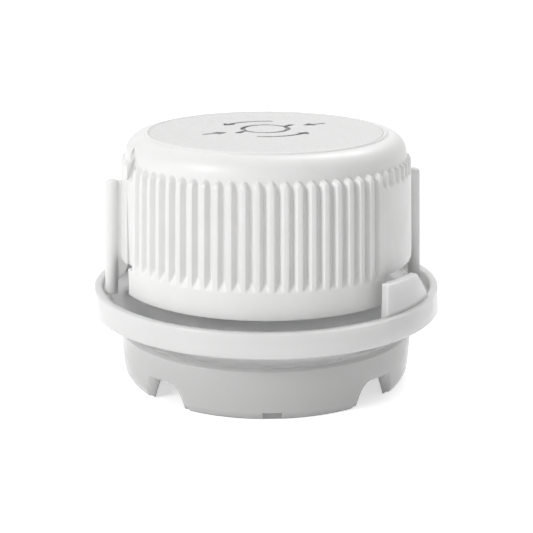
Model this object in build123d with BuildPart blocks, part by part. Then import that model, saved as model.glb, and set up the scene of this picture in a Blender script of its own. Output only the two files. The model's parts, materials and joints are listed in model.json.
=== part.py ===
from build123d import *
from math import cos, degrees, radians, sin, tan
import os

# A squeeze-and-turn closure: a white ribbed cap over a translucent collar that stays on the bottle.
# Millimetres, +Z up, standing on the collar's foot, with the collar's front slot towards -Y.
# Plan angles are counted from -Y towards +X.

# Collar: socket over the bottle neck
socket_radius = 23.8  # inside wall that the neck slides into
socket_depth = 13.0  # foot to the flat underside of the deck
skirt_wall = 1.6  # at the skirt's widest
foot_land = 0.4  # width of the foot that the collar stands on
foot_height = 1.4  # of the foot's outer bevel
skirt_taper = 0.4  # slight taper from the belly down to the foot
belly_height = 5.8  # where the skirt is widest
ledge_height = 8.45  # small step under the flange
ledge_rise = 0.75
ledge_depth = 0.5
snap_depth = 0.45  # groove inside the skirt that the neck's bead snaps into
snap_height = 5.9
snap_width = 1.5

# Collar: four notches and four small slots round the foot
notch_count = 4
notch_height = 4.5
notch_top_width = 6.7  # at the outer surface
notch_foot_width = 10.5
notch_bevel = 1.4  # how much each side narrows on its way inwards
notch_top_bevel = 0.7
slot_width = 3.2
slot_height = 1.36
slot_skin = 0.3  # left inside each slot

# Collar: flange, gutter and rim
flange_base = 12.26  # underside of the flange above the foot
flange_height = 4.14
flange_draft = 0.24
rim_width = 1.5
rim_bevel = 0.3
deck_thickness = 1.8
rim_margin = 1.0  # rim outside the lock walls

# Collar: pouring spout under the cap
spout_radius = 16.2
spout_wall = 1.5
spout_bevel = 0.4

# Collar: two lock walls that stop the wings
wall_thickness = 1.4
wall_rise = 5.35  # above the rim
wall_start = 39.4  # upright face that stops the wing as the cap is undone
wall_length = 8.4  # level top, along the wall
wall_ramp = 45.0  # slope that lets the wing ride over as the cap is screwed on
wall_overlap = 0.55  # how far the wing's bead reaches over the wall

# Cap: outer form
cap_gap = 0.62  # between the rim and the cap's lower edge
squeeze_room = 3.5  # between the thread wall and the grip, for the tongues to give
grip_wall = 2.65  # through a ridge
band_wall = 1.35
band_height = 4.55
grip_height = 15.35  # ridges, from the band to their sloped tops
grip_draft = 2.0  # lean of the ridges towards the top
crown_setback = 1.7  # crown inside the grip
crown_side = 0.5
crown_wall = 2.45
shoulder_round = 3.3
shoulder_bands = 5  # the round is made of this many cone bands
disc_step = 0.15  # raised disc in the middle of the crown
disc_inset = 0.05
crown_plate = 1.75
band_bevel = 0.2

# Cap: ridged grip
ridge_divisions = 72
panel_ridges = 22
panel_angle = -7.8  # middle of the front panel as the cap stands on the collar
groove_depth = 1.0
groove_floor = 0.6
groove_throat = 1.0
groove_mouth = 2.0
groove_end = 1.5  # height of the sloped foot of each groove
ridge_round = 0.45
ridge_ease = 0.04  # the round starts this far outside the ridge, so that it meets it at a slight angle

# Cap: squeeze tongues
tongue_end = 63.2  # free edge, from the middle of the panel
tongue_wall = 1.3
tongue_inset = 0.45  # smooth face inside the ridges
slit_width = 0.4
slit_top = 3.4  # solid crown left above the slit
facet_inset = 0.45  # flat recess in the crown beside the slit, at its ridge side
facet_deep = 0.85  # and at the slit
cutout_start = 54.3  # the band is left out under the tongues
cutout_end = 122.0

# Cap: wings
bead_radius = 0.95
wing_reach = 1.55  # axis of the bead outside the grip
bead_bevel = 0.45
bead_angle = 73.8  # from the middle of the panel
bead_foot = 1.0  # below the rim
bead_height = 20.0
web_thickness = 1.1
web_drop = 0.3  # top of the web under the bead's top
web_root = 6.4  # degrees from the bead back to the tongue's edge
web_foot = 4.0  # height of the web's curved lower corner

# Inside the cap
thread_room = 1.8  # between the spout and the thread wall
thread_wall = 1.5
thread_wall_lift = 3.5  # thread wall above the deck
liner_thickness = 1.2
liner_play = 0.2

# Levels above the foot
deck_top = socket_depth + deck_thickness
rim_top = flange_base + flange_height
wall_top = rim_top + wall_rise
band_foot = rim_top + cap_gap
band_top = band_foot + band_height
grip_top = band_top + grip_height
slope_rise = 1.9
slope_top = grip_top + slope_rise
shoulder_foot = slope_top + crown_side
crown_top = shoulder_foot + shoulder_round
crown_under = crown_top + disc_step - crown_plate
liner_top = crown_under - liner_play
spout_top = liner_top - liner_thickness - liner_play

# Radii
skirt_radius = socket_radius + skirt_wall
thread_inner = spout_radius + thread_room
thread_outer = thread_inner + thread_wall
cavity_radius = thread_outer + squeeze_room
cap_radius = cavity_radius + grip_wall  # over the band and the foot of the ridges
crown_radius = cap_radius - crown_setback
bead_reach = cap_radius + wing_reach
wall_inner = bead_reach + bead_radius - wall_overlap
wall_outer = wall_inner + wall_thickness
rim_radius = wall_outer + rim_margin
gutter_radius = rim_radius - rim_width
pitch = 360 / ridge_divisions
half_panel = pitch * (panel_ridges - 1) / 2
bead_base = rim_top - bead_foot
grip_lean = tan(radians(grip_draft))
outside = rim_radius + skirt_wall  # beyond every surface, for cutters


def grip_radius(height):
    """Radius over the ridges at a height, with their lean."""
    return cap_radius - (height - band_top - groove_end) * grip_lean


def towards(angle):
    """Turn about Z that brings +X to a plan angle counted from -Y."""
    return angle - 90


def outline(corners):
    """Closed outline in the XZ plane from (radius, height, bevel) corners, where a bevel of 0 is sharp."""
    points = []
    for index, (radius, height, bevel) in enumerate(corners):
        corner = Vector(radius, height)
        if bevel == 0:
            points.append(corner)
            continue
        for neighbour in (corners[index - 1], corners[(index + 1) % len(corners)]):
            points.append(corner + (Vector(*neighbour[:2]) - corner).normalized() * bevel)
    return Polyline(*points, close=True)


# One notch of the collar's foot, narrowing inwards, cut towards +X
def notch_outline(radius):
    """Trapezoid of the notch on the plane at this radius."""
    depth = (skirt_radius - radius) / skirt_wall
    half_top = notch_top_width / 2 - notch_bevel * depth
    half_foot = notch_foot_width / 2 - notch_bevel * depth
    top = notch_height - notch_top_bevel * depth
    half_below = half_foot + (half_foot - half_top)
    return Polyline((-half_below, -top), (-half_top, top), (half_top, top), (half_below, -top), close=True)


with BuildPart() as notch:
    for radius in (socket_radius - skirt_wall / 4, skirt_radius + skirt_wall / 4):
        with BuildSketch(Plane.YZ.offset(radius)):
            with BuildLine():
                notch_outline(radius)
            make_face()
    loft()

# One lock wall: upright face at +X, level top, ramp, bent round with the rim
wall_slope = (wall_top - deck_top) / tan(radians(wall_ramp))
with BuildPart() as lock_wall:
    with BuildSketch(Plane.YZ):
        with BuildLine():
            Polyline(
                (0, deck_top),
                (0, wall_top),
                (wall_length, wall_top),
                (wall_length + wall_slope, deck_top),
                close=True,
            )
        make_face()
    extrude(amount=outside)
    with BuildSketch(Plane.XY.offset(deck_top)):
        Circle(wall_outer)
        Circle(wall_inner, mode=Mode.SUBTRACT)
    extrude(amount=wall_top - deck_top, mode=Mode.INTERSECT)

# The collar in section, from the spout's rim round the rim and the skirt and back inside
with BuildPart() as collar:
    with BuildSketch(Plane.XZ):
        with BuildLine():
            outline(
                [
                    (spout_radius - spout_wall, spout_top, 0),
                    (spout_radius, spout_top, spout_bevel),
                    (spout_radius, deck_top, 0),
                    (gutter_radius, deck_top, 0),
                    (gutter_radius, rim_top, rim_bevel),
                    (rim_radius, rim_top, rim_bevel),
                    (rim_radius + flange_draft, flange_base, rim_bevel),
                    (skirt_radius - ledge_depth, flange_base, 0),
                    (skirt_radius - ledge_depth, ledge_height + ledge_rise, 0),
                    (skirt_radius, ledge_height, 0),
                    (skirt_radius, belly_height, 0),
                    (skirt_radius - skirt_taper, foot_height, 0),
                    (socket_radius + foot_land, 0, 0),
                    (socket_radius, 0, 0),
                    (socket_radius, snap_height, 0),
                    (socket_radius + snap_depth, snap_height + snap_width / 2, 0),
                    (socket_radius, snap_height + snap_width, 0),
                    (socket_radius, socket_depth, 0),
                    (spout_radius - spout_wall, socket_depth, 0),
                ]
            )
        make_face()
    revolve(axis=Axis.Z)
    with PolarLocations(0, 2, start_angle=towards(wall_start)):
        add(lock_wall.part)
    with PolarLocations(0, notch_count, start_angle=towards(180 / notch_count)):
        add(notch.part, mode=Mode.SUBTRACT)
    with PolarLocations(0, notch_count, start_angle=towards(0)):
        with Locations((socket_radius + slot_skin + skirt_wall / 2, 0, slot_height / 2)):
            Box(skirt_wall, slot_width, slot_height, mode=Mode.SUBTRACT)

# Grooves of the grip, made at +X: each leans with the ridges and runs out on a slope at its foot
def groove_cut(foot, round_size):
    """Cutter for one groove whose sloped foot ends at this height, between ridges rounded by this much."""
    floor_radius = grip_radius(foot) - groove_depth
    leaning = Plane(
        origin=(floor_radius, 0, foot),
        x_dir=(1, 0, grip_lean),
        z_dir=(-grip_lean, 0, 1),
    )
    run_out = Plane(origin=(floor_radius, 0, foot), x_dir=(0, 1, 0), z_dir=(groove_end, 0, groove_depth))
    with BuildPart() as cut:
        with BuildSketch(leaning.offset(-groove_end * 2)):
            with BuildLine():
                FilletPolyline(
                    (0, -groove_floor / 2),
                    (groove_depth + ridge_ease, -groove_throat / 2),
                    (groove_depth + ridge_ease, -groove_mouth / 2),
                    (groove_depth * 2, -groove_mouth / 2),
                    (groove_depth * 2, groove_mouth / 2),
                    (groove_depth + ridge_ease, groove_mouth / 2),
                    (groove_depth + ridge_ease, groove_throat / 2),
                    (0, groove_floor / 2),
                    radius=[0, round_size, 0, 0, 0, 0, round_size, 0],
                    close=True,
                )
            make_face()
        extrude(amount=groove_end * 2 + slope_top + crown_side / 2 - foot)
        split(bisect_by=run_out)
    return cut.part


long_groove = groove_cut(band_top + groove_end, ridge_round)
short_groove = groove_cut(grip_top + slope_rise / 2, 0)


def sector(inner_radius, outer_radius, foot, top, start, end, lean=0):
    """Ring sector between two plan angles from the panel's middle, as a cutter whose inside may lean."""
    with BuildPart() as cut:
        with BuildSketch(Plane.XZ):
            with BuildLine():
                Polyline(
                    (inner_radius, foot),
                    (outer_radius, foot),
                    (outer_radius, top),
                    (inner_radius - (top - foot) * lean, top),
                    close=True,
                )
            make_face()
        revolve(axis=Axis.Z, revolution_arc=end - start)
    return cut.part.rotate(Axis.Z, towards(start))


# One half of the cap's side, counted from its panel's middle: tongue, slit, facet, wing
free_edge = 180 - tongue_end
tongue_start = half_panel + pitch / 2
stub_count = int((free_edge - tongue_start) / pitch)
facet_end = 180 - half_panel - pitch / 4
tongue_radius = cap_radius - tongue_inset
tongue_back = tongue_radius - tongue_wall
tongue_face = sector(tongue_radius, outside, band_top, slope_top, tongue_start, free_edge, grip_lean)
tongue_room = sector(cavity_radius, tongue_back, band_foot, grip_top, tongue_start + pitch, free_edge)
cutout = sector(cavity_radius, outside, band_foot, band_top, cutout_start, cutout_end)
facet_radius = grip_radius(band_top) - groove_depth
facet_side = sector(facet_radius, outside, band_top, grip_top, free_edge, facet_end)
slit_end = free_edge + degrees(slit_width / cap_radius)
slit = sector(crown_radius - crown_wall, outside, band_foot, crown_top - slit_top, free_edge, slit_end)

# Flat facet that cuts the crown's shoulder from the slit to the first ridge
with BuildPart() as crown_facet:
    with BuildSketch(Plane.XY.offset(grip_top)):
        with BuildLine():
            shallow = Vector(crown_radius - facet_inset, 0).rotate(Axis.Z, towards(facet_end))
            deep = Vector(crown_radius - facet_deep, 0).rotate(Axis.Z, towards(free_edge))
            Polyline(
                shallow,
                deep,
                deep * (outside / deep.length),
                shallow * (outside / shallow.length),
                close=True,
            )
        make_face()
    extrude(amount=crown_top - grip_top)

# Wing: bead at +X and the web back to the tongue's free edge, with a curved lower corner
with BuildPart() as wing:
    with BuildSketch(Plane.XY.offset(bead_base)):
        with Locations((bead_reach, 0)):
            Circle(bead_radius)
    extrude(amount=bead_height)
    chamfer(wing.faces().sort_by(Axis.Z)[-1].edges(), bead_bevel)
    root = Vector(tongue_back, 0).rotate(Axis.Z, web_root)
    along = (Vector(bead_reach, 0) - root).normalized()
    web_length = (Vector(bead_reach, 0) - root).length
    web_plane = Plane(origin=root, x_dir=along, z_dir=along.cross(Vector(0, 0, 1)))
    with BuildSketch(web_plane):
        with BuildLine():
            web_top = bead_base + bead_height - web_drop
            corner = Line((0, web_top), (web_length, web_top))
            side = Line(corner @ 1, (web_length, band_top - web_foot))
            curve = TangentArc(side @ 1, (0, band_top + web_drop / 2), tangent=(-1, 0.3))
            Line(curve @ 1, corner @ 0)
        make_face()
    extrude(amount=web_thickness / 2, both=True)

# The cap in section: crown and grip outside, thread wall and cavity inside
disc_radius = crown_radius - shoulder_round - disc_inset
shoulder_turns = [radians(90 * band / shoulder_bands) for band in range(shoulder_bands + 1)]
shoulder = [
    (crown_radius + shoulder_round * (sin(turn) - 1), crown_top + shoulder_round * (cos(turn) - 1), 0)
    for turn in shoulder_turns
]
with BuildPart() as cap:
    with BuildSketch(Plane.XZ):
        with BuildLine():
            outline(
                [
                    (0, crown_top + disc_step, 0),
                    (disc_radius, crown_top + disc_step, 0),
                    (disc_radius, crown_top, 0),
                    *shoulder,
                    (crown_radius, slope_top, 0),
                    (grip_radius(grip_top), grip_top, 0),
                    (cap_radius, band_top + groove_end, 0),
                    (cap_radius, band_foot, band_bevel),
                    (cap_radius - band_wall, band_foot, 0),
                    (cap_radius - band_wall, band_top, 0),
                    (cavity_radius, band_top + groove_end, 0),
                    (cavity_radius, grip_top, 0),
                    (crown_radius - crown_wall, slope_top, 0),
                    (crown_radius - crown_wall, crown_under, 0),
                    (thread_outer, crown_under, 0),
                    (thread_outer, deck_top + thread_wall_lift, 0),
                    (thread_inner, deck_top + thread_wall_lift, 0),
                    (thread_inner, crown_under, 0),
                    (0, crown_under, 0),
                ]
            )
        make_face()
    revolve(axis=Axis.Z)
    with PolarLocations(0, 2, panel_angle):
        for cutter in (tongue_face, tongue_room, cutout, facet_side, slit, crown_facet.part):
            add(cutter, mode=Mode.SUBTRACT)
        first_groove = pitch / 2 - half_panel
        with PolarLocations(0, panel_ridges - 1, towards(first_groove), -2 * first_groove, endpoint=True):
            add(long_groove, mode=Mode.SUBTRACT)
        with PolarLocations(0, stub_count, towards(tongue_start), pitch * (stub_count - 1), endpoint=True):
            add(short_groove, mode=Mode.SUBTRACT)
        with PolarLocations(0, 1, towards(180 - bead_angle)):
            add(wing.part)

# Loose sealing disc between the crown and the spout's rim
with BuildPart() as liner:
    with BuildSketch(Plane.XY.offset(liner_top - liner_thickness)):
        Circle(thread_inner - liner_play)
    extrude(amount=liner_thickness)

os.makedirs("parts", exist_ok=True)
collar.part.label = "collar"
export_step(collar.part, "parts/collar.step")
cap.part.label = "cap"
export_step(cap.part, "parts/cap.step")
liner.part.label = "liner"
export_step(liner.part, "parts/liner.step")
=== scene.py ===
import json
from math import cos, pi, radians, sin, tan
import bmesh
import bpy
import numpy as np
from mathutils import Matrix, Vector


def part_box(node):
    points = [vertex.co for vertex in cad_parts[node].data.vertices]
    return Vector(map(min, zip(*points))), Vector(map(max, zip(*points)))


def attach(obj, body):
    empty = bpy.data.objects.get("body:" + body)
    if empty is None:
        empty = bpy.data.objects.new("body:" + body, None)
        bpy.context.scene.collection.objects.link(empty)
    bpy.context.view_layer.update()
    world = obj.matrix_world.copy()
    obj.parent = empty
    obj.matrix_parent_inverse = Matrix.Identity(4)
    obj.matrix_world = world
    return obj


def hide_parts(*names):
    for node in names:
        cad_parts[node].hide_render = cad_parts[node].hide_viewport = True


# Squeeze-and-turn closure: white ribbed cap over a milky collar, as it stands on a table.
# Lengths are in millimetres until a mesh is made. Plan angles are in degrees, from -Y towards +X.
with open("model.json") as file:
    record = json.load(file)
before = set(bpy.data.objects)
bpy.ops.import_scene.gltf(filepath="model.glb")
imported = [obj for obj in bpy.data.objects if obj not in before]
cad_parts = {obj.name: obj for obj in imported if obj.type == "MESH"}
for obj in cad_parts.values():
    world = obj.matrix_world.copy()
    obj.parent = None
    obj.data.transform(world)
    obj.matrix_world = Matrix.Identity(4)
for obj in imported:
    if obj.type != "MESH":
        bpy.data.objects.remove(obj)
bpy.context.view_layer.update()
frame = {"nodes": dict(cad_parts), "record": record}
mm = 0.001
weld = 0.002  # mesh points nearer than this become one
split = 0.0004  # half the gap between the two rows or columns of a step, so that they weld


# Small steps that all pieces share
def smoothStep(low, high, x):
    # 0 below low, 1 above high, an S between: t * t * (3 - 2 * t)
    t = np.clip((x - low) / (high - low), 0, 1)
    return t * t * (3 - 2 * t)


def softMin(a, b, blend):
    # the smaller of two, rounded over the blend width where they cross
    h = np.clip(0.5 + 0.5 * (b - a) / blend, 0, 1)
    return b * (1 - h) + a * h - blend * h * (1 - h)


def softMax(a, b, blend):
    return -softMin(-a, -b, blend)


def quarterRound(distance, size):
    # how far a rounded edge falls back at a distance from the edge: f - sqrt(f^2 - (f - x)^2)
    back = size - np.clip(distance, 0, size)
    return size - np.sqrt(np.maximum(size ** 2 - back ** 2, 0))


def gridMesh(name, x, y, z, closedRows=False, sharpAngle=38):
    # a piece from three arrays of rows by columns, in millimetres; columns always close round
    rows, columns = x.shape
    index = np.arange(rows * columns).reshape(rows, columns)
    if closedRows:
        index = np.vstack([index, index[:1]])
    index = np.hstack([index, index[:, :1]])
    quads = np.stack([index[:-1, :-1], index[:-1, 1:], index[1:, 1:], index[1:, :-1]], axis=-1)
    mesh = bpy.data.meshes.new(name)
    points = np.stack([x, y, z], axis=-1).reshape(-1, 3) * mm
    mesh.from_pydata(points.tolist(), [], quads.reshape(-1, 4).tolist())
    shape = bmesh.new()
    shape.from_mesh(mesh)
    bmesh.ops.remove_doubles(shape, verts=shape.verts, dist=weld * mm)
    bmesh.ops.dissolve_degenerate(shape, edges=shape.edges, dist=weld * mm / 10)
    bmesh.ops.recalc_face_normals(shape, faces=shape.faces)
    shape.to_mesh(mesh)
    shape.free()
    mesh.polygons.foreach_set("use_smooth", np.ones(len(mesh.polygons), dtype=bool))
    mesh.set_sharp_from_angle(angle=radians(sharpAngle))
    piece = bpy.data.objects.new(name, mesh)
    bpy.context.collection.objects.link(piece)
    return piece


def roundGrid(name, radius, height, angle, **options):
    # radius and height of rows by columns, turned to x and y by each column's plan angle
    turn = np.radians(angle)
    return gridMesh(name, radius * np.sin(turn), -radius * np.cos(turn), height, **options)


def finish(piece, body, material):
    piece.data.materials.append(material)
    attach(piece, body)
    return piece


def withSteps(plain, edges, nearby):
    # sorted columns: an even set, plus a few round each edge and the pair that makes its step
    near = (edges[:, None] + np.concatenate([-nearby, [-split, split], nearby])[None, :]).ravel()
    keep = np.abs(plain[:, None] - edges[None, :]).min(axis=1) > nearby.min()
    return np.unique(np.round(np.concatenate([plain[keep], near]), 6))


# Cap
capBox = [np.array(corner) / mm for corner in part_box("cap")]
capShape = {
    "panelAngle": -7.8,  # middle of the front ribbed panel
    "top": capBox[1][2],  # highest point, the sign and the crown's raised edge
    "foot": 17.02,
    "bandRadius": 25.65,
    "bandWall": 1.35,
    "bandTop": 21.57,
    "grooveFoot": 23.07,  # the grooves reach full depth here
    "gripTop": 36.92,
    "slopeFoot": 37.2,  # the ridges' tops curve in from here
    "slopeClear": 0.2,  # how fast that curve leaves the leaning side below its foot
    "slopeBlend": 0.3,
    "crownBlend": 0.12,
    "slopeTop": 38.82,
    "crownRadius": 23.95,
    "shoulderFoot": 39.32,
    "shoulderRound": 3.3,
    "discRadius": 20.6,
    "discSink": 0.13,  # textured middle under the raised edge
    "signReach": 14.2,  # disc that carries the sign
    "edgeWidth": 0.32,
    "edgeBevel": 0.16,
    "moat": 0.19,  # dip round the disc
    "moatWidth": 1.4,
    "panDepth": 0.8,  # room under the sign
    "lean": 2.0,
    "pitch": 5.0,
    "halfPanel": 52.5,
    "grooveDepth": 1.0,
    "grooveFlat": 0.14,  # half width of a groove's floor
    "grooveSide": 0.8,  # from a groove's middle to the top of a ridge
    "grooveCurve": 0.8,
    "runOutBlend": 0.16,
    "floorBlend": 0.08,
    "tipFoot": 37.7,  # round tips of the ridges
    "tipTop": 38.85,
    "stubFoot": 37.6,
    "stubCount": 12,  # short grooves over each smooth tongue
    "cavityRadius": 23.0,
    "crownCavity": 21.5,
    "crownUnder": 41.02,
    "tongueStart": 54.1,  # the ridges give way to the smooth tongue from here
    "tongueFull": 55.5,  # to here
    "tongueInset": 0.45,
    "tongueBack": 23.9,
    "tongueRoom": 60.0,  # the tongue is thinner from here
    "roomTop": 35.3,  # and below this height
    "freeEdge": -63.2,  # of the tongue, beside the slit
    "slitWidth": 0.4,  # degrees
    "slitTop": 39.22,
    "bandEnd": -58.0,
    "bandStart": 54.3,
    "facetEnd": -53.75,
    "facetRadius": 24.7,
    "facetDepth": 23.09,  # of the flat from the axis
    "facetTurn": -68.1,  # where the flat faces
    "facetFoot": 37.22,
    "facetRun": 1.3,  # slope between the flat and the strip under it, out for down
    "edgeRound": 0.24,
}


def capHalf(angle):
    # every column's angle from its own panel's middle, with the tongue on the far side
    c = capShape
    return np.mod(angle - c["freeEdge"], 180) + c["freeEdge"]


def capFoot(half):
    # lower edge: the band, higher in the cut-outs under the tongues, higher still in the slits
    c = capShape
    cutout = (half > c["bandStart"]) | (half < c["bandEnd"])
    slit = half < c["freeEdge"] + c["slitWidth"]
    return np.where(slit, c["slitTop"], np.where(cutout, c["bandTop"], c["foot"]))


def facetPlane(half):
    # distance of the flat from the axis along each column: depth / cos(angle from where it faces)
    c = capShape
    return c["facetDepth"] / np.cos(np.radians(half - c["facetTurn"]))


def capOuter(half, z):
    # outer radius: leaning ridges under a slope and the crown's side, less the grooves,
    # less the facet beside the slit, less the rounds on upright edges
    c = capShape
    leaning = c["bandRadius"] - np.maximum(z - c["grooveFoot"], 0) * tan(radians(c["lean"]))
    onTongue = smoothStep(c["tongueStart"], c["tongueFull"], half) * (z > c["bandTop"])
    leaning = leaning - c["tongueInset"] * onTongue
    ridgeTop = c["bandRadius"] - (c["gripTop"] - c["grooveFoot"]) * tan(radians(c["lean"]))
    # the ridges' tops end in a quarter of an ellipse: height * sqrt(1 - t * t)
    rise = np.clip((z - c["slopeFoot"]) / (c["slopeTop"] - c["slopeFoot"]), 0, 1)
    slope = c["crownRadius"] + (ridgeTop - c["crownRadius"]) * np.sqrt(1 - rise ** 2)
    slope = slope + c["slopeClear"] * np.maximum(c["slopeFoot"] - z, 0)
    crown = np.full_like(leaning, c["crownRadius"])
    ridge = softMax(softMin(leaning, slope, c["slopeBlend"]), crown, c["crownBlend"])
    place = half / c["pitch"]
    across = np.abs(place - np.round(place)) * radians(c["pitch"]) * ridge
    # the ridges end in round tips up the slope: width * sqrt(1 - t * t)
    tip = np.clip((z - c["tipFoot"]) / (c["tipTop"] - c["tipFoot"]), 0, 0.99)
    halfPitch = radians(c["pitch"]) * ridge / 2
    across = np.maximum(halfPitch - (halfPitch - across) / np.sqrt(1 - tip ** 2), 0)
    wave = 1 - smoothStep(c["grooveFlat"], c["grooveSide"], across) ** c["grooveCurve"]
    panel = np.abs(half) < c["halfPanel"]
    stub = (half > c["halfPanel"]) & (half < c["halfPanel"] + c["stubCount"] * c["pitch"])
    footZ = np.where(panel, c["grooveFoot"], c["stubFoot"])
    runOut = (z - (footZ - c["grooveFoot"] + c["bandTop"])) / (c["grooveFoot"] - c["bandTop"])
    cut = softMin(wave, np.clip(runOut, 0, 2), c["runOutBlend"])
    cut = np.where(panel | stub, np.clip(cut, 0, 1), 0)
    radius = softMax(ridge - c["grooveDepth"] * cut, crown, c["floorBlend"])
    facet = half < c["facetEnd"]
    radius = np.where(facet & (z > c["bandTop"]), np.minimum(radius, c["facetRadius"]), radius)
    flat = facetPlane(half) + np.maximum(c["facetFoot"] - z, 0) * c["facetRun"]
    radius = np.where(facet, np.minimum(radius, flat), radius)
    fromTongueEdge = np.radians(c["freeEdge"] + 180 - half) * c["bandRadius"]
    radius = radius - quarterRound(fromTongueEdge, c["edgeRound"]) * (z < c["slitTop"])
    fromSlit = np.radians(half - c["freeEdge"] - c["slitWidth"]) * c["bandRadius"]
    besideSlit = (fromSlit > 0) & (z < c["slitTop"])
    radius = radius - np.where(besideSlit, quarterRound(fromSlit, c["edgeRound"] / 2), 0)
    for end in (np.radians(c["bandStart"] - half), np.radians(half - c["bandEnd"])):
        nearEnd = (end > 0) & (z < c["bandTop"])
        radius = radius - np.where(nearEnd, quarterRound(end * c["bandRadius"], c["edgeRound"]), 0)
    return radius


def capInner(half, z):
    # inner radius: thin band, thicker grip, thinner tongues, crown wall
    c = capShape
    rise = np.clip((z - c["bandTop"]) / (c["grooveFoot"] - c["bandTop"]), 0, 1)
    grip = (c["bandRadius"] - c["bandWall"]) * (1 - rise) + c["cavityRadius"] * rise
    tongue = (half > c["tongueRoom"]) & (z < c["roomTop"])
    grip = np.where(tongue, c["tongueBack"], grip)
    close = np.clip((z - c["gripTop"]) / (c["slopeTop"] - c["gripTop"]), 0, 1)
    return np.where(z < c["gripTop"], grip, c["cavityRadius"] * (1 - close) + c["crownCavity"] * close)


def buildCap(material):
    c = capShape
    edges = np.array([c["freeEdge"], c["freeEdge"] + c["slitWidth"], c["bandEnd"], c["facetEnd"],
                      c["bandStart"], c["tongueRoom"]])
    nearby = np.degrees(np.array([0.03, 0.09, 0.18, 0.3]) / c["bandRadius"])
    bothHalves = np.mod(np.concatenate([edges, edges + 180]) + 180, 360) - 180
    angles = withSteps(np.arange(-180, 180, c["pitch"] / 12), bothHalves, nearby)
    half = capHalf(angles)[None, :]
    ones = np.ones_like(half)
    foot = capFoot(half)
    # crown: sunk textured middle, raised edge, shoulder arc
    full = np.where(half < c["facetEnd"], facetPlane(half), c["crownRadius"])
    crease = np.arcsin(np.minimum((full - c["crownRadius"]) / c["shoulderRound"] + 1, 1))
    arc = (np.linspace(0, 1, 16) ** 1.3)[:, None] * crease
    shoulderRadius = c["crownRadius"] - c["shoulderRound"]
    middle = c["top"] - c["discSink"]
    width = c["edgeWidth"]
    edgeSteps = np.array([-0.12, 0, 0.06, width - 0.04, width, width + c["edgeBevel"]])
    edgeR = c["discRadius"] - c["edgeBevel"] - width + edgeSteps
    crownR = np.concatenate([[0, 7], [c["signReach"]] * 2, [15, 17.5, 19.4], edgeR])
    pan = middle - c["panDepth"]
    ring = [middle + 0.03, c["top"], c["top"], c["top"] - 0.03]
    outside = c["shoulderFoot"] + c["shoulderRound"] - c["moat"]
    crownZ = np.concatenate([[pan] * 3, [middle] * 5, ring, [outside]])
    blocks = [(crownR[:, None] * ones, crownZ[:, None] * ones)]
    arcR = shoulderRadius + c["shoulderRound"] * np.sin(arc)
    sink = c["moat"] * (1 - smoothStep(0.0, c["moatWidth"], arcR - c["discRadius"]))
    arcZ = c["shoulderFoot"] + c["shoulderRound"] * np.cos(arc) - sink
    blocks += [(arcR, arcZ), (arcR[-1:], arcZ[-1:] - 0.04)]
    # side, from the shoulder down to the lower edge
    levels = np.concatenate([
        np.linspace(c["shoulderFoot"] - 0.2, c["gripTop"] + 0.25, 12),
        [c["gripTop"] + split, c["gripTop"] - split],
        c["gripTop"] - np.array([0.25, 0.55, 0.9, 1.5]),
        np.linspace(c["gripTop"] - 3, c["grooveFoot"] + 1, 7),
        np.linspace(c["grooveFoot"] + 0.5, c["bandTop"] + 0.15, 8),
        [c["bandTop"] + split, c["bandTop"] - split],
        np.linspace(c["bandTop"] - 0.3, c["foot"] + c["edgeRound"], 5),
    ])[:, None]
    sideZ = np.maximum(levels, foot + c["edgeRound"])
    blocks.append((capOuter(half * np.ones_like(sideZ), sideZ), sideZ))
    # rounded lower edge, outside then inside
    footOuter = capOuter(half, foot + split)
    footInner = capInner(half, foot + split)
    size = np.minimum(c["edgeRound"], 0.45 * (footOuter - footInner))
    quarter = np.radians(np.array([25, 50, 72, 90]))[:, None]
    blocks.append((footOuter - size + size * np.cos(quarter), foot + size - size * np.sin(quarter)))
    back = quarter[::-1]
    blocks.append((footInner + size - size * np.cos(back), foot + size - size * np.sin(back)))
    # inside, up to the underside of the crown
    inside = np.array([c["foot"] + 0.5, c["bandTop"] - split, c["bandTop"] + split, c["grooveFoot"],
                       30, c["roomTop"] - split, c["roomTop"] + split, c["gripTop"], c["slopeTop"],
                       c["crownUnder"]])[:, None]
    insideZ = np.maximum(inside, foot + c["edgeRound"])
    blocks.append((capInner(half * np.ones_like(insideZ), insideZ), insideZ))
    underR = np.array([14.0, 7.0, 0.0])[:, None] * ones
    blocks.append((underR, np.full_like(underR, c["crownUnder"])))
    radius = np.vstack([block[0] for block in blocks])
    height = np.vstack([block[1] for block in blocks])
    piece = roundGrid("capShell", radius, height, angles + c["panelAngle"])
    finish(piece, "cap", material)
    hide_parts("cap")
    print("cap shell:", len(piece.data.polygons), "faces")


def thinWall(along, low, high, half, edge, inset):
    # offset across and height of a thin wall's section at each station: upright sides from low to high and
    # rounded top corners; an inset makes a smaller section, and both ends close on their middle
    upright = [np.reshape(values, (-1, 1)) for values in (along, low, high, inset)]
    along, low, high, inset = np.broadcast_arrays(*upright)
    corner = np.linspace(0, pi / 2, 5)
    inwards = np.concatenate([[0, 0], 1 - np.cos(corner), [1.2]])
    down = np.concatenate([[1.2], [1.2], 1 - np.sin(corner), [0]])
    size = edge * np.clip((high - inset - low) / (1.3 * edge), 0, 1)
    across = half - inset - inwards * size
    z = high - inset - down * size
    z[:, 0] = low[:, 0]
    z = np.maximum(z, low)
    across, z = np.hstack([-across, across[:, ::-1]]), np.hstack([z, z[:, ::-1]])
    across[[0, -1]] = 0
    z[[0, -1]] = z[[0, -1]].mean(axis=1, keepdims=True)
    return across, z


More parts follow.
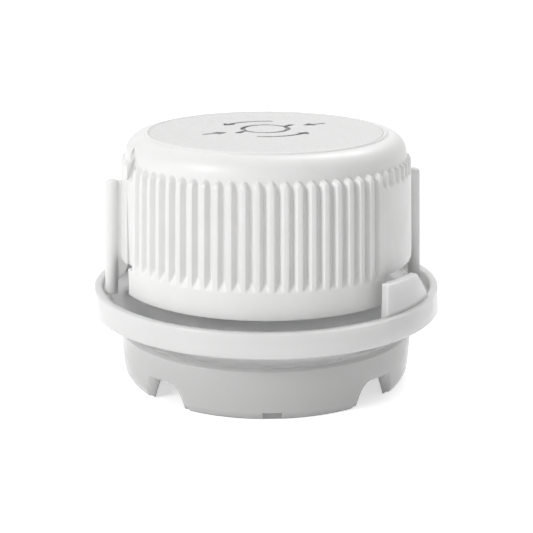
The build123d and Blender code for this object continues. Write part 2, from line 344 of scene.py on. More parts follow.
# Wings on the tongues: a bead at the end of a web, leaning with the grip
wingShape = {
    "beadRadius": 1.1,
    "beadReach": 27.05,
    "beadAngle": 106.2,  # from the panel's middle
    "rootRadius": 24.2,
    "foot": 15.4,
    "top": 35.4,
    "dome": 0.7,
    "footRound": 0.2,
    "webHalf": 0.55,
    "webTop": 35.1,
    "webEdge": 0.3,
    "webFoot": 17.6,  # lower corner at the bead
    "webRootFoot": 22.0,  # and at the tongue
}


def placeWing(name, outwards, sideways, z, side, material):
    # from the wing's own directions to plan, leaning towards the axis with height
    w = wingShape
    outwards = outwards - (z - w["foot"]) * tan(radians(capShape["lean"]))
    turn = radians(capShape["panelAngle"] + w["beadAngle"] + (0 if side == "Right" else 180))
    piece = gridMesh(name + side, outwards * sin(turn) + sideways * cos(turn),
                     sideways * sin(turn) - outwards * cos(turn), z, sharpAngle=50)
    return finish(piece, "cap", material)


def buildWings(material):
    w = wingShape
    theta = np.radians(np.arange(0, 360, 7.5))[None, :]
    dome = np.radians(np.linspace(0, 90, 7))
    # the bead from its foot up: flat, small round, three rings, dome
    footR = w["beadRadius"] - w["footRound"] * (1 - np.sin(dome))
    beadR = np.concatenate([[0, 0.8], footR, np.full(3, w["beadRadius"]), w["beadRadius"] * np.cos(dome)])
    footZ = w["footRound"] * (1 - np.cos(dome))
    domeZ = w["top"] - w["foot"] - w["dome"] * (1 - np.sin(dome))
    beadZ = np.concatenate([[0, 0], footZ, [5, 10, 15], domeZ])
    beadR, beadZ = beadR[:, None], beadZ[:, None] + w["foot"] + 0 * theta
    beadOut, beadAside = w["beadReach"] + beadR * np.cos(theta), beadR * np.sin(theta)
    step = np.linspace(0, 1, 14)
    outwards = w["rootRadius"] + (w["beadReach"] - w["rootRadius"]) * step
    # lower edge: a quarter of an ellipse from the bead up to the tongue
    low = w["webFoot"] + (w["webRootFoot"] - w["webFoot"]) * (1 - np.sqrt(1 - (1 - step) ** 2))
    across, webZ = thinWall(outwards, low, w["webTop"], w["webHalf"], w["webEdge"], 0)
    for side in ("Right", "Left"):
        placeWing("wingBead", beadOut, beadAside, beadZ, side, material)
        placeWing("wingWeb", outwards[:, None] + 0 * across, across, webZ, side, material)
    print("wings done")


# Wall inside the cap that carries its thread, and the threads of cap and spout
threadShape = {
    "inner": 18.0,
    "outer": 19.5,
    "foot": 18.3,
    "edge": 0.3,
    "capCrest": 17.3,
    "spoutCrest": 17.0,
    "rise": 5.0,  # of a full turn
    "turns": 1.75,
    "width": 1.5,
    "startAngle": 40,
    "fade": 0.06,  # share of its length over which a thread rises at each end
    "capStart": 20.6,
    "spoutStart": 22.4,
}


def windingRidge(name, wallRadius, crestRadius, startZ, material, body):
    # a rounded ridge carried along a helix, fading out at both ends
    t = threadShape
    along = np.linspace(0, 1, int(t["turns"] * 96))[:, None]
    height = smoothStep(0, t["fade"], along) * (1 - smoothStep(1 - t["fade"], 1, along))
    side = [[-0.6, -0.6], [-0.5, 0], [-0.22, 0.85]]
    profile = np.array(side + [[0, 1]] + [[-aside, high] for aside, high in side[::-1]]).T
    angle = np.radians(t["startAngle"] + along * t["turns"] * 360) * np.ones((1, profile.shape[1]))
    radius = wallRadius + (crestRadius - wallRadius) * profile[1][None, :] * height
    z = startZ + along * t["turns"] * t["rise"] + profile[0][None, :] * t["width"] * (0.25 + 0.75 * height)
    piece = gridMesh(name, radius * np.sin(angle), -radius * np.cos(angle), z, sharpAngle=60)
    return finish(piece, body, material)


def buildThreadWall(material):
    # a plain ring in section, with rounds at its lower edge and its top inside the crown
    t = threadShape
    columns = np.arange(-180, 180, 1.5)
    quarter = np.radians(np.array([0, 30, 60, 90]))
    size = t["edge"]
    fall = size * (1 - np.cos(quarter))
    low = t["foot"] + size - size * np.sin(quarter)
    top = capShape["crownUnder"] + 0.3
    ends = [[t["outer"], top], [t["outer"], t["foot"] + size]]
    otherEnds = [[t["inner"], t["foot"] + size], [t["inner"], top]]
    outerRound = np.stack([t["outer"] - fall, low], axis=1)
    innerRound = np.stack([t["inner"] + fall, low], axis=1)[::-1]
    section = np.vstack([ends, outerRound, innerRound, otherEnds])
    radius = section[:, :1] * np.ones((1, len(columns)))
    height = section[:, 1:] * np.ones((1, len(columns)))
    wall = roundGrid("capThreadWall", radius, height, columns, closedRows=True)
    finish(wall, "cap", material)
    windingRidge("capThread", t["inner"], t["capCrest"], t["capStart"], material, "cap")
    print("thread wall done")


# Squeeze-and-turn sign sunk into the crown: a ring with two tabs, two press arrows and two turn arrows
signShape = {
    "centre": 2.4,  # behind the crown's middle
    "depth": 0.45,
    "side": 0.08,  # half the width of a line's sloped side
    "line": 0.36,  # half the width of a line
    "ringRadius": 3.9,
    "tabLength": 2.1,
    "tabLine": 0.55,
    "tabTurn": 6,
    "tabCurl": 0.12,
    "skirt": 0.7,  # depth of the disc's own edge
    "turnRadius": 7.8,
    "turnFrom": 54,
    "turnSweep": 70,
    "pressFrom": 11.6,
    "pressTo": 7.9,
    "headLength": 1.6,
    "headLine": 0.85,  # of a line
    "headSwing": 32,
    "turned": 26.0,  # degrees from +X
}


def signStrokes():
    # every stroke as x and y along it and half its width
    g = signShape
    base = radians(g["turned"])
    circle = np.linspace(0, 2 * pi, 260)
    strokes = [(g["ringRadius"] * np.cos(circle), g["ringRadius"] * np.sin(circle), g["line"])]
    step = np.linspace(0, 1, 60)
    for half in (base, base + pi):
        tab = g["ringRadius"] + g["tabLength"] * step
        lean = half + radians(g["tabTurn"]) + g["tabCurl"] * step
        strokes.append((tab * np.cos(lean), tab * np.sin(lean), g["tabLine"] * (0.6 + 0.4 * step)))
        sweep = half + np.radians(g["turnFrom"] + g["turnSweep"] * step)
        turnX, turnY = g["turnRadius"] * np.cos(sweep), g["turnRadius"] * np.sin(sweep)
        push = g["pressFrom"] + (g["pressTo"] - g["pressFrom"]) * step
        pushX, pushY = push * cos(half), push * sin(half)
        strokes += [(turnX, turnY, g["line"]), (pushX, pushY, g["line"])]
        tips = ((turnX[-1], turnY[-1], sweep[-1] + pi / 2), (pushX[-1], pushY[-1], half + pi))
        for tipX, tipY, ahead in tips:
            for swing in (-1, 1):
                back = ahead + pi + radians(g["headSwing"]) * swing
                run = g["headLength"] * step[::2]
                strokes.append((tipX + run * cos(back), tipY + run * sin(back), g["line"] * g["headLine"]))
    return strokes


def buildSign(material):
    # a fine disc that falls by the depth wherever the nearest stroke is closer than half a line
    g = signShape
    turn = np.radians(np.linspace(-180, 180, 601))[None, :-1]
    radius = np.linspace(0, capShape["signReach"], 136)[:, None]
    x, y = radius * np.sin(turn), -radius * np.cos(turn)
    past = np.full(x.shape, 1.0)
    for strokeX, strokeY, line in signStrokes():
        distance = np.hypot(x[..., None] - strokeX, y[..., None] - g["centre"] - strokeY) - line
        past = np.minimum(past, distance.min(axis=-1))
    flat = capShape["top"] - capShape["discSink"]
    z = flat - g["depth"] * (1 - smoothStep(-g["side"], g["side"], past))
    x, y = np.vstack([x, x[-1:]]), np.vstack([y, y[-1:]])
    z = np.vstack([z, np.full_like(z[-1:], flat - g["skirt"])])
    sign = gridMesh("crownSign", x, y, z, sharpAngle=60)
    print("sign done:", len(sign.data.polygons), "faces")
    return finish(sign, "cap", material)


# Collar: socket skirt, flange with gutter and rim, lock walls, pouring spout
collarBox = [np.array(corner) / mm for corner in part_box("collar")]
collarShape = {
    "socketRadius": frame["record"]["mounts"][0]["dims"]["r_mm"],
    "socketTop": 13.0,
    "socketRound": 0.3,
    "boreRound": 0.2,
    "spoutRadius": 16.2,
    "spoutWall": 1.5,
    "spoutTop": collarBox[1][2],
    "spoutRound": 0.4,
    "deckRound": 0.8,
    "deckTop": 14.8,
    "gutterRadius": 28.5,
    "rimTop": 16.4,
    "rimRadius": 30.0,
    "flangeDraft": 0.2,
    "flangeBase": 12.26,
    "rimRound": 0.34,
    "neckRadius": 24.9,
    "neckRound": 0.4,
    "ledgeTop": 8.85,
    "ledgeFoot": 8.45,
    "skirtRadius": 25.4,
    "belly": 5.8,
    "taperRadius": 25.0,
    "taperCurve": 1.4,
    "footCurve": 1.2,
    "footHeight": 1.4,
    "footRadius": 24.2,
    "snapLow": 5.9,
    "snapDepth": 0.45,
    "snapWidth": 1.5,
    "notchHeight": 4.5,
    "notchTop": 3.35,  # half widths at the outer surface
    "notchFoot": 5.25,
    "notchBevel": 1.4,  # narrower inside by this much each side
    "notchTopBevel": 0.7,
    "slotHalf": 1.6,
    "slotHeight": 1.36,
    "slotBack": 24.1,
}


def fromQuarter(angle, first):
    # signed distance in degrees to the nearest of four places a quarter turn apart
    return np.mod(angle - first + 45, 90) - 45


def notchLift(angle, radius, inset):
    # lower edge over a notch: a trapezoid, smaller by the inset share of its bevel
    k = collarShape
    across = np.abs(np.radians(fromQuarter(angle, 45)) * radius)
    top = k["notchTop"] - k["notchBevel"] * inset
    foot = k["notchFoot"] - k["notchBevel"] * inset
    high = k["notchHeight"] - k["notchTopBevel"] * inset
    return np.clip((foot - across) / (foot - top), 0, 1) * high


def skirtEdge(z):
    # outer radius of the skirt: belly, taper and the bevelled foot
    k = collarShape
    taper = np.clip((k["belly"] - z) / (k["belly"] - k["footHeight"]), 0, 1) ** k["taperCurve"]
    under = np.clip((k["footHeight"] - z) / k["footHeight"], 0, 1) ** k["footCurve"]
    return (k["skirtRadius"] - (k["skirtRadius"] - k["taperRadius"]) * taper
            - (k["taperRadius"] - k["footRadius"]) * under)


def buildCollar(material):
    # one closed section of rows carried round the axis; the lower rows give way to notches and slots
    k = collarShape
    arcStep = np.degrees(1 / k["skirtRadius"])
    notchSide = np.linspace(k["notchTop"] - k["notchBevel"] - 0.05, k["notchFoot"] + 0.1, 34) * arcStep
    quarters = np.arange(4)[:, None] * 90
    notchEdges = np.concatenate([45 + quarters - notchSide, 45 + quarters + notchSide]).ravel()
    slotSide = k["slotHalf"] * arcStep
    slotEdges = np.mod(np.concatenate([quarters - slotSide, quarters + slotSide]).ravel() + 180, 360) - 180
    plain = np.mod(np.concatenate([np.arange(-180, 180, 1.2), notchEdges]) + 180, 360) - 180
    nearby = np.degrees(np.array([0.04, 0.1, 0.2]) / k["rimRadius"])
    angle = withSteps(np.unique(np.round(plain, 5)), slotEdges, nearby)[None, :]
    ones = np.ones_like(angle)
    rows = []

    def addRow(radius, height):
        rows.append((radius * ones, height * ones))

    def addRound(centreR, centreZ, size, fromTurn, toTurn):
        # corner arc about its centre, turns in degrees from outwards, counted upwards
        for turn in np.radians(np.linspace(fromTurn, toTurn, 5)):
            addRow(centreR + size * cos(turn), centreZ + size * sin(turn))

    bore = k["spoutRadius"] - k["spoutWall"]
    size = k["spoutRound"]
    addRound(bore + size, k["spoutTop"] - size, size, 180, 90)
    addRound(k["spoutRadius"] - size, k["spoutTop"] - size, size, 90, 0)
    size = k["deckRound"]
    addRow(k["spoutRadius"], k["deckTop"] + size)
    addRound(k["spoutRadius"] + size, k["deckTop"] + size, size, 180, 270)
    # gutter, rim and flange
    size = k["rimRound"]
    addRow(k["gutterRadius"] - 1.2, k["deckTop"])
    addRound(k["gutterRadius"] - size, k["deckTop"] + size, size, -90, 0)
    addRound(k["gutterRadius"] + size, k["rimTop"] - size, size, 180, 90)
    addRound(k["rimRadius"] - size, k["rimTop"] - size, size, 90, 0)
    flangeRadius = k["rimRadius"] + k["flangeDraft"]
    addRound(flangeRadius - size, k["flangeBase"] + size, size, 0, -90)
    size = k["neckRound"]
    addRound(k["neckRadius"] + size, k["flangeBase"] - size, size, 90, 180)
    addRow(k["neckRadius"], k["ledgeTop"] + 0.05)
    addRow(k["neckRadius"] + 0.05, k["ledgeTop"])
    addRow(k["skirtRadius"] - 0.1, k["ledgeFoot"] + 0.03)
    addRow(k["skirtRadius"] - 0.03, k["ledgeFoot"] - 0.03)
    addRow(k["skirtRadius"], k["ledgeFoot"] - 0.12)
    # skirt, its lower edge lifted over the notches and slots
    outsideLift = notchLift(angle, k["skirtRadius"], 0.0)
    insideLift = notchLift(angle, k["skirtRadius"], 1.0)
    slot = np.abs(np.radians(fromQuarter(angle, 0)) * k["skirtRadius"]) < k["slotHalf"]
    lowest = np.where(slot, k["slotHeight"], outsideLift)
    levels = np.linspace(k["belly"] + 0.6, k["footHeight"] + 0.1, 14)
    for z in np.concatenate([levels, [k["footHeight"] - 0.2, 0.7, 0.3, 0]]):
        lifted = np.maximum(z, lowest)
        addRow(skirtEdge(lifted), lifted)
    lowOuter = skirtEdge(lowest)
    middleLift = (outsideLift + insideLift) / 2
    between = np.where(outsideLift > 0, (lowOuter + k["socketRadius"]) / 2, k["footRadius"] - 0.15)
    between = np.where(slot, k["slotBack"], between)
    addRow(between, np.where(slot, k["slotHeight"], middleLift))
    addRow(between, middleLift)
    addRow(k["socketRadius"], insideLift)
    # inside the socket with its snap groove, then the deck's underside and the bore
    snap = k["snapLow"] + k["snapWidth"] * np.array([0, 0.5, 1])
    for z, depth in zip(snap, (0, k["snapDepth"], 0)):
        addRow(k["socketRadius"] + depth, z)
    size = k["socketRound"]
    addRound(k["socketRadius"] - size, k["socketTop"] - size, size, 0, 90)
    size = k["boreRound"]
    addRound(bore + size, k["socketTop"] + size, size, 270, 180)
    radius = np.vstack([row[0] for row in rows])
    height = np.vstack([row[1] for row in rows])
    piece = roundGrid("collarShell", radius, height, angle[0], closedRows=True, sharpAngle=40)
    finish(piece, "collar", material)
    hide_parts("collar")
    windingRidge("spoutThread", k["spoutRadius"], threadShape["spoutCrest"], threadShape["spoutStart"],
                 material, "collar")
    print("collar shell:", len(piece.data.polygons), "faces")


# Lock walls that stand in the gutter
wallShape = {
    "inner": 27.6,
    "outer": 29.0,
    "foot": 14.5,  # sunk into the deck
    "top": 21.75,
    "start": 39.4,  # upright face
    "length": 8.4,  # then the ramp falls at 45 degrees
    "bend": 0.4,
    "edge": 0.24,
}


def buildLockWalls(material):
    # stations along a straight line from the upright face, bent round the axis: a point's distance
    # towards the axis is sqrt(radius^2 - along^2)
    w = wallShape
    corner = np.radians(np.linspace(0, 90, 5))
    end = np.concatenate([[0, 0], w["edge"] * (1 - np.cos(corner))])
    slopeEnd = w["length"] + w["top"] - w["foot"]
    level = np.linspace(0.5, w["length"] - 0.4, 6)
    bend = w["length"] + np.linspace(-0.2, 0.4, 4)
    ramp = np.linspace(w["length"] + 0.8, slopeEnd, 14)
    along = np.concatenate([end, level, bend, ramp])
    inset = np.zeros_like(along)
    inset[:len(end)] = np.concatenate([[w["edge"] + 0.05] * 2, w["edge"] * (1 - np.sin(corner))])
    high = w["top"] - softMax(along - w["length"], np.zeros_like(along), w["bend"])
    middle, half = (w["inner"] + w["outer"]) / 2, (w["outer"] - w["inner"]) / 2
    across, z = thinWall(along, w["foot"], np.maximum(high, w["foot"]), half, w["edge"], inset)
    along = along[:, None]
    inward = np.sqrt((middle + across) ** 2 - along ** 2)
    for index, start in enumerate((w["start"], w["start"] + 180)):
        turn = radians(start)
        piece = gridMesh(f"lockWall{index}", inward * sin(turn) + along * cos(turn),
                         along * sin(turn) - inward * cos(turn), z, sharpAngle=45)
        finish(piece, "collar", material)
    print("lock walls done")


# Node groups for the finishes
def nodeGroup(name, inputs, outputs):
    group = bpy.data.node_groups.new(name, "ShaderNodeTree")
    for label, kind, value in inputs:
        socket = group.interface.new_socket(label, in_out="INPUT", socket_type=kind)
        if value is not None:
            socket.default_value = value
    for label, kind in outputs:
        group.interface.new_socket(label, in_out="OUTPUT", socket_type=kind)
    start = group.nodes.new("NodeGroupInput")
    end = group.nodes.new("NodeGroupOutput")
    return group, start, end


def node(tree, kind, settings=None, **sockets):
    made = tree.nodes.new(kind)
    for key, value in (settings or {}).items():
        setattr(made, key, value)
    for key, value in sockets.items():
        made.inputs[key.replace("_", " ")].default_value = value
    return made


def mathNode(tree, operation, first, second=None):
    made = node(tree, "ShaderNodeMath", {"operation": operation})
    for index, value in enumerate((first, second)):
        if value is None:
            continue
        if isinstance(value, bpy.types.NodeSocket):
            tree.links.new(value, made.inputs[index])
        else:
            made.inputs[index].default_value = value
    return made.outputs[0]


def mouldGrainGroup():
    # height of the fine skin that a mould leaves: two sizes of noise, added by their own shares
    group, start, end = nodeGroup("mouldGrain", [
        ("Vector", "NodeSocketVector", None), ("Fine Scale", "NodeSocketFloat", 4000.0),
        ("Broad Scale", "NodeSocketFloat", 300.0), ("Broad Share", "NodeSocketFloat", 0.5)],
        [("Height", "NodeSocketFloat"), ("Patches", "NodeSocketFloat")])
    fine = node(group, "ShaderNodeTexNoise", Detail=3.0, Roughness=0.6)
    broad = node(group, "ShaderNodeTexNoise", Detail=2.0, Roughness=0.5)
    for noise, scale in ((fine, "Fine Scale"), (broad, "Broad Scale")):
        group.links.new(start.outputs["Vector"], noise.inputs["Vector"])
        group.links.new(start.outputs[scale], noise.inputs["Scale"])
    share = mathNode(group, "MULTIPLY", broad.outputs["Fac"], start.outputs["Broad Share"])
    group.links.new(mathNode(group, "ADD", fine.outputs["Fac"], share), end.inputs["Height"])
    group.links.new(broad.outputs["Fac"], end.inputs["Patches"])
    return group


def speckGroup():
    # mask of rare tiny specks: the middle of a few cells of a scattered pattern
    group, start, end = nodeGroup("strayDust", [
        ("Vector", "NodeSocketVector", None), ("Scale", "NodeSocketFloat", 180.0),
        ("Size", "NodeSocketFloat", 0.05), ("Share", "NodeSocketFloat", 0.06)],
        [("Mask", "NodeSocketFloat")])
    cells = node(group, "ShaderNodeTexVoronoi", {"feature": "F1"})
    group.links.new(start.outputs["Vector"], cells.inputs["Vector"])
    group.links.new(start.outputs["Scale"], cells.inputs["Scale"])
    near = mathNode(group, "LESS_THAN", cells.outputs["Distance"], start.outputs["Size"])
    parts = node(group, "ShaderNodeSeparateColor")
    group.links.new(cells.outputs["Color"], parts.inputs["Color"])
    chosen = mathNode(group, "LESS_THAN", parts.outputs["Red"], start.outputs["Share"])
    group.links.new(mathNode(group, "MULTIPLY", near, chosen), end.inputs["Mask"])
    return group


def newMaterial(name):
    material = bpy.data.materials.new(name)
    material.use_nodes = True
    tree = material.node_tree
    return material, tree, tree.nodes["Principled BSDF"], node(tree, "ShaderNodeTexCoord").outputs["Object"]


def placeGroup(tree, group, vector, **values):
    made = tree.nodes.new("ShaderNodeGroup")
    made.node_tree = group
    tree.links.new(vector, made.inputs["Vector"])
    for key, value in values.items():
        made.inputs[key.replace("_", " ")].default_value = value
    return made


def mixColours(tree, mask, first, second):
    made = node(tree, "ShaderNodeMix", {"data_type": "RGBA"})
    tree.links.new(mask, made.inputs["Factor"])
    for index, value in ((6, first), (7, second)):
        if isinstance(value, bpy.types.NodeSocket):
            tree.links.new(value, made.inputs[index])
        else:
            made.inputs[index].default_value = (*value, 1)
    return made.outputs[2]


def spread(tree, value, low, high, toLow, toHigh):
    made = node(tree, "ShaderNodeMapRange")
    tree.links.new(value, made.inputs["Value"])
    for label, number in (("From Min", low), ("From Max", high), ("To Min", toLow), ("To Max", toHigh)):
        made.inputs[label].default_value = number
    return made.outputs["Result"]


def fromAxis(tree, place):
    # distance from the axis, sqrt(x * x + y * y), and height
    axis = node(tree, "ShaderNodeSeparateXYZ")
    tree.links.new(place, axis.inputs["Vector"])
    squares = [mathNode(tree, "MULTIPLY", axis.outputs[name], axis.outputs[name]) for name in "XY"]
    return mathNode(tree, "SQRT", mathNode(tree, "ADD", *squares)), axis.outputs["Z"]


def zone(tree, value, start, end):
    # mask: 0 at the start, 1 at the end, both in millimetres
    return spread(tree, value, start * mm, end * mm, 0, 1)


def setShader(shader, values):
    for label, value in values.items():
        shader.inputs[label].default_value = value


capFinish = {
    "white": (0.84, 0.84, 0.837),
    "warmer": (0.79, 0.79, 0.782),
    # crown's middle: duller eroded skin, and painted shade against the top lamp
    "erodedAndShaded": (0.74, 0.74, 0.737),
    "paintedLineShade": (0.3, 0.3, 0.3),  # painted shade in the sunk lines of the sign
    "lineShade": 0.75,
    "speck": (0.16, 0.15, 0.14),
    "roughness": (0.36, 0.46),
    "bump": 0.00001,
    "crownBump": 0.0003,
    "crownRoughness": 0.12,  # added there
    "shader": {"Subsurface Weight": 0.15, "Subsurface Scale": 0.0012, "Subsurface Radius": (1.0, 0.95, 0.9),
               "IOR": 1.49},
}


def capMaterial(grain, dust):
    # satin white; the crown's middle is spark-eroded, so its grain is coarser and duller, and its colour is
    # darker, partly as painted shade that keeps the top lamp from lighting it brighter
    f = capFinish
    material, tree, shader, place = newMaterial("capWhite")
    skin = placeGroup(tree, grain, place, Fine_Scale=5200.0, Broad_Scale=260.0, Broad_Share=0.6)
    coarse = placeGroup(tree, grain, place, Fine_Scale=1500.0, Broad_Scale=700.0, Broad_Share=0.7)
    specks = placeGroup(tree, dust, place, Scale=210.0, Size=0.035, Share=0.035)
    across, high = fromAxis(tree, place)
    top, disc = capShape["top"], capShape["discRadius"]
    inDisc = zone(tree, across, disc - 0.6, disc - 0.8)
    crown = mathNode(tree, "MULTIPLY", inDisc, zone(tree, high, top - 0.4, top - 0.2))
    flat = top - capShape["discSink"]
    # painted shade: the sign's lines are darker where the surface lies lowest, by up to lineShade
    sunk = mathNode(tree, "MULTIPLY", zone(tree, high, flat - 0.02, flat - 0.14), f["lineShade"])
    inSign = mathNode(tree, "MULTIPLY", zone(tree, high, flat - 0.6, flat - 0.5), inDisc)
    lines = mathNode(tree, "MULTIPLY", sunk, inSign)
    tone = mixColours(tree, skin.outputs["Patches"], f["white"], f["warmer"])
    # painted shade on the upward-facing middle of the crown, partly its duller eroded skin
    tone = mixColours(tree, crown, tone, f["erodedAndShaded"])
    # painted shade in the sign's sunk lines
    tone = mixColours(tree, lines, tone, f["paintedLineShade"])
    tree.links.new(mixColours(tree, specks.outputs["Mask"], tone, f["speck"]), shader.inputs["Base Color"])
    rough = spread(tree, skin.outputs["Patches"], 0.3, 0.7, *f["roughness"])
    duller = mathNode(tree, "MULTIPLY", crown, f["crownRoughness"])
    tree.links.new(mathNode(tree, "ADD", rough, duller), shader.inputs["Roughness"])
    fineBump = node(tree, "ShaderNodeBump", Strength=0.5, Distance=f["bump"])
    tree.links.new(skin.outputs["Height"], fineBump.inputs["Height"])
    discBump = node(tree, "ShaderNodeBump", Strength=1.0, Distance=f["crownBump"])
    tree.links.new(mathNode(tree, "MULTIPLY", coarse.outputs["Height"], crown), discBump.inputs["Height"])
    tree.links.new(fineBump.outputs["Normal"], discBump.inputs["Normal"])
    tree.links.new(discBump.outputs["Normal"], shader.inputs["Normal"])
    setShader(shader, f["shader"])
    return material


collarFinish = {
    "milky": (0.8, 0.8, 0.798),
    "thicker": (0.77, 0.77, 0.768),
    # painted light: the gutter under the cap is lighter, as if lit through the plastic
    "paintedGutterLight": (0.985, 0.985, 0.983),
    "gutterEdge": (27.6, 26.2),  # where the gutter's painted light, extra roughness and extra passing light fade in, inwards and upwards
    "gutterFoot": (8.8, 9.8),
    "gutterRoughness": 0.25,  # added there
    "passing": (0.12, 0.8),  # share of light that goes through, outside the gutter and in it
    "paintedSkirtShade": (0.63, 0.63, 0.628),  # painted shade: the wall round the dark socket is darker, as if the dark inside showed through
    "skirtTop": (10.2, 8.5),
    "speck": (0.25, 0.24, 0.22),
    "roughness": (0.13, 0.22),
    "bump": 0.000012,
    "shader": {"Subsurface Weight": 1.0, "Subsurface Scale": 0.003, "Subsurface Radius": (1.0, 1.0, 1.0),
               "IOR": 1.5},
}


def collarMaterial(grain, dust):
    # milky natural plastic: light spreads inside it and a little comes through; the gutter has painted light
    # and the skirt painted shade
    f = collarFinish
    material, tree, shader, place = newMaterial("collarMilky")
    skin = placeGroup(tree, grain, place, Fine_Scale=2600.0, Broad_Scale=140.0, Broad_Share=1.4)
    specks = placeGroup(tree, dust, place, Scale=170.0, Size=0.03, Share=0.02)
    tone = mixColours(tree, skin.outputs["Patches"], f["milky"], f["thicker"])
    # painted light: the gutter under the cap is lighter in colour, standing in for light that comes through
    # the plastic
    across, high = fromAxis(tree, place)
    inside, above = zone(tree, across, *f["gutterEdge"]), zone(tree, high, *f["gutterFoot"])
    gutter = mathNode(tree, "MULTIPLY", inside, above)
    # painted light in the gutter
    tone = mixColours(tree, gutter, tone, f["paintedGutterLight"])
    # painted shade: the skirt is darker below its top
    tone = mixColours(tree, zone(tree, high, *f["skirtTop"]), tone, f["paintedSkirtShade"])
    tree.links.new(mixColours(tree, specks.outputs["Mask"], tone, f["speck"]), shader.inputs["Base Color"])
    rough = spread(tree, skin.outputs["Patches"], 0.3, 0.7, *f["roughness"])
    frosted = mathNode(tree, "MULTIPLY", gutter, f["gutterRoughness"])
    tree.links.new(mathNode(tree, "ADD", rough, frosted), shader.inputs["Roughness"])
    bump = node(tree, "ShaderNodeBump", Strength=0.5, Distance=f["bump"])
    tree.links.new(skin.outputs["Height"], bump.inputs["Height"])
    tree.links.new(bump.outputs["Normal"], shader.inputs["Normal"])
    tree.links.new(spread(tree, gutter, 0, 1, *f["passing"]), shader.inputs["Transmission Weight"])
    setShader(shader, f["shader"])
    return material


linerFinish = {
    "foam": (0.78, 0.78, 0.76),
    "cell": (0.70, 0.70, 0.68),
    "bump": 0.00008,
    "roughness": (0.75, 0.9),
}


def linerMaterial(grain):
    # soft foam sheet with small closed cells
    f = linerFinish
    material, tree, shader, place = newMaterial("linerFoam")
    skin = placeGroup(tree, grain, place, Fine_Scale=1800.0, Broad_Scale=400.0, Broad_Share=0.5)
    cells = node(tree, "ShaderNodeTexVoronoi", Scale=2200.0)
    tree.links.new(place, cells.inputs["Vector"])
    tone = mixColours(tree, cells.outputs["Distance"], f["foam"], f["cell"])
    tree.links.new(tone, shader.inputs["Base Color"])
    bump = node(tree, "ShaderNodeBump", Strength=0.6, Distance=f["bump"])
    relief = mathNode(tree, "ADD", skin.outputs["Height"], cells.outputs["Distance"])
    tree.links.new(relief, bump.inputs["Height"])
    tree.links.new(bump.outputs["Normal"], shader.inputs["Normal"])
    rough = spread(tree, skin.outputs["Patches"], 0.3, 0.7, *f["roughness"])
    tree.links.new(rough, shader.inputs["Roughness"])
    return material


# Table, light and camera
studio = {
    "tableSize": 6000,
    "tableColour": (0.87, 0.87, 0.87),
    "tableRoughness": 0.7,
    "tableDrop": 0.02,  # so that the collar's foot and the table don't share a plane
    "tableLift": 0.54,  # added white that only the camera sees
    "world": 0.45,
    "keyPlace": (-420, -330, 330),  # from the left
    "keyPower": 1.9,
    "keySize": 260,
    "topPlace": (230, 260, 520),
    "topPower": 1.55,
    "topSize": 320,
    "aim": (0, 0, 20),
}


def seenRay(tree):
    # 1 for what the camera sees, straight or in a reflection or through the plastic
    light = node(tree, "ShaderNodeLightPath")
    both = mathNode(tree, "MAXIMUM", light.outputs["Is Glossy Ray"], light.outputs["Is Transmission Ray"])
    return mathNode(tree, "MAXIMUM", light.outputs["Is Camera Ray"], both)


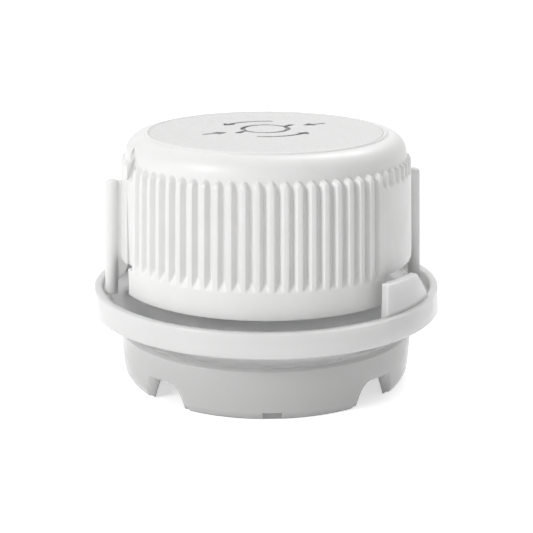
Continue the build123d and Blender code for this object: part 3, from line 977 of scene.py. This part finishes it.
def buildTable():
    s = studio
    mesh = bpy.data.meshes.new("table")
    h = s["tableSize"] * mm / 2
    mesh.from_pydata([(-h, -h, 0), (h, -h, 0), (h, h, 0), (-h, h, 0)], [], [(0, 1, 2, 3)])
    table = bpy.data.objects.new("table", mesh)
    bpy.context.collection.objects.link(table)
    table.location.z = -s["tableDrop"] * mm
    material, tree, shader = newMaterial("tablePale")[:3]
    shader.inputs["Base Color"].default_value = (*s["tableColour"], 1)
    shader.inputs["Roughness"].default_value = s["tableRoughness"]
    glow = node(tree, "ShaderNodeEmission", Color=(1, 1, 1, 1))
    tree.links.new(mathNode(tree, "MULTIPLY", seenRay(tree), s["tableLift"]), glow.inputs["Strength"])
    both = node(tree, "ShaderNodeAddShader")
    tree.links.new(shader.outputs["BSDF"], both.inputs[0])
    tree.links.new(glow.outputs["Emission"], both.inputs[1])
    tree.links.new(both.outputs["Shader"], tree.nodes["Material Output"].inputs["Surface"])
    mesh.materials.append(material)


def areaLamp(name, place, power, size):
    lamp = bpy.data.lights.new(name, "AREA")
    lamp.shape = "DISK"
    lamp.size = size * mm
    lamp.energy = power
    holder = bpy.data.objects.new(name, lamp)
    holder.location = Vector(place) * mm
    holder.rotation_euler = (Vector(studio["aim"]) * mm - holder.location).to_track_quat("-Z", "Y").to_euler()
    bpy.context.collection.objects.link(holder)


def buildLight():
    s = studio
    areaLamp("key", s["keyPlace"], s["keyPower"], s["keySize"])
    areaLamp("top", s["topPlace"], s["topPower"], s["topSize"])
    world = bpy.data.worlds.new("studio")
    bpy.context.scene.world = world
    world.use_nodes = True
    tree = world.node_tree
    strength = spread(tree, seenRay(tree), 0, 1, s["world"], 1)
    tree.nodes["Background"].inputs["Color"].default_value = (1, 1, 1, 1)
    tree.links.new(strength, tree.nodes["Background"].inputs["Strength"])
    bpy.context.scene.view_settings.view_transform = "Standard"


cameraShape = {
    "distance": 213.3,
    "aside": 0.07,
    "height": 79.8,
    "turn": -2.3,  # where it stands, in plan
    "drop": 16.0,
    "lens": 85.44,
    "sensor": 36.0,
}


def buildCamera():
    c = cameraShape
    lens = bpy.data.cameras.new("camera")
    lens.lens = c["lens"]
    lens.sensor_width = c["sensor"]
    lens.clip_start = 10 * mm
    camera = bpy.data.objects.new("camera", lens)
    turn = radians(c["turn"])
    out = c["distance"]
    camera.location = Vector((out * sin(turn) + c["aside"], -out * cos(turn), c["height"])) * mm
    camera.rotation_euler = (pi / 2 - radians(c["drop"]), 0, turn)
    bpy.context.collection.objects.link(camera)
    bpy.context.scene.camera = camera


grain = mouldGrainGroup()
dust = speckGroup()
white = capMaterial(grain, dust)
milky = collarMaterial(grain, dust)
foam = linerMaterial(grain)
buildCap(white)
buildWings(white)
buildThreadWall(white)
buildSign(white)
buildCollar(milky)
buildLockWalls(milky)
liner = frame["nodes"]["liner"]
for place in liner.material_slots:
    place.material = foam
buildTable()
buildLight()
buildCamera()
